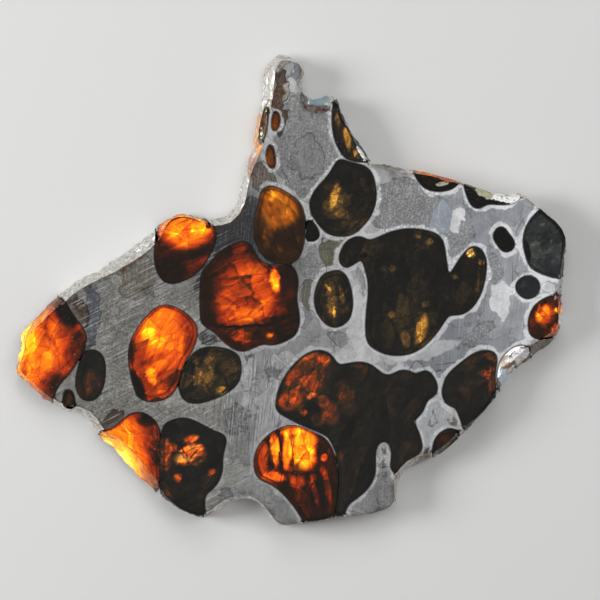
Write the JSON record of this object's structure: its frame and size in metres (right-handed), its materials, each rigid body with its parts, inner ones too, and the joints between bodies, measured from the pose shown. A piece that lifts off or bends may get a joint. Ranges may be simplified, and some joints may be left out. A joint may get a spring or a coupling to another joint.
{
  "type": "pallasite meteorite slice",
  "caption": "Polished slice of stony-iron meteorite: a net of iron-nickel metal holding see-through amber and dark olivine crystals, with a broken natural rim.",
  "frame": {"origin": "middle of the slice's box, on its flat back face", "axes": "+X to the right and +Y up in the picture's view of the front face, +Z out of the front face"},
  "size_m": [0.1112, 0.0954, 0.006],
  "materials": {
    "iron_nickel": "polished and lightly etched, broken and rough on the rim",
    "amber_olivine": "polished, cracked inside, see-through",
    "brown_olivine": "polished, cracked inside, see-through",
    "dark_olivine": "polished, cracked inside, deeply tinted",
    "clear_olivine": "broken facets, nearly colourless"
  },
  "bodies": {
    "root": {"metal_matrix": "iron_nickel", "olivine_left_tip": "amber_olivine", "olivine_left_middle": "amber_olivine", "olivine_upper_left": "amber_olivine", "olivine_centre_left": "amber_olivine", "olivine_lower_left": "amber_olivine", "olivine_lower_amber": "amber_olivine", "olivine_right_amber": "amber_olivine", "olivine_horn_sliver_1": "amber_olivine", "olivine_horn_sliver_2": "amber_olivine", "olivine_left_chip": "brown_olivine", "olivine_neck": "brown_olivine", "olivine_top_rim": "brown_olivine", "olivine_top_corner": "brown_olivine", "olivine_right_pair": "brown_olivine", "olivine_right_rim_brown": "brown_olivine", "olivine_left_oval": "dark_olivine", "olivine_left_dark": "dark_olivine", "olivine_lower_left_dark": "dark_olivine", "olivine_horn_right": "dark_olivine", "olivine_neck_right": "dark_olivine", "olivine_neck_grain": "dark_olivine", "olivine_centre_oval": "dark_olivine", "olivine_centre_group": "dark_olivine", "olivine_lower_group": "dark_olivine", "olivine_right_round": "dark_olivine", "olivine_right_edge": "dark_olivine", "olivine_right_lower": "dark_olivine", "olivine_horn_sliver_3": "dark_olivine", "olivine_rim_clear": "clear_olivine"}
  },
  "joints": []
}
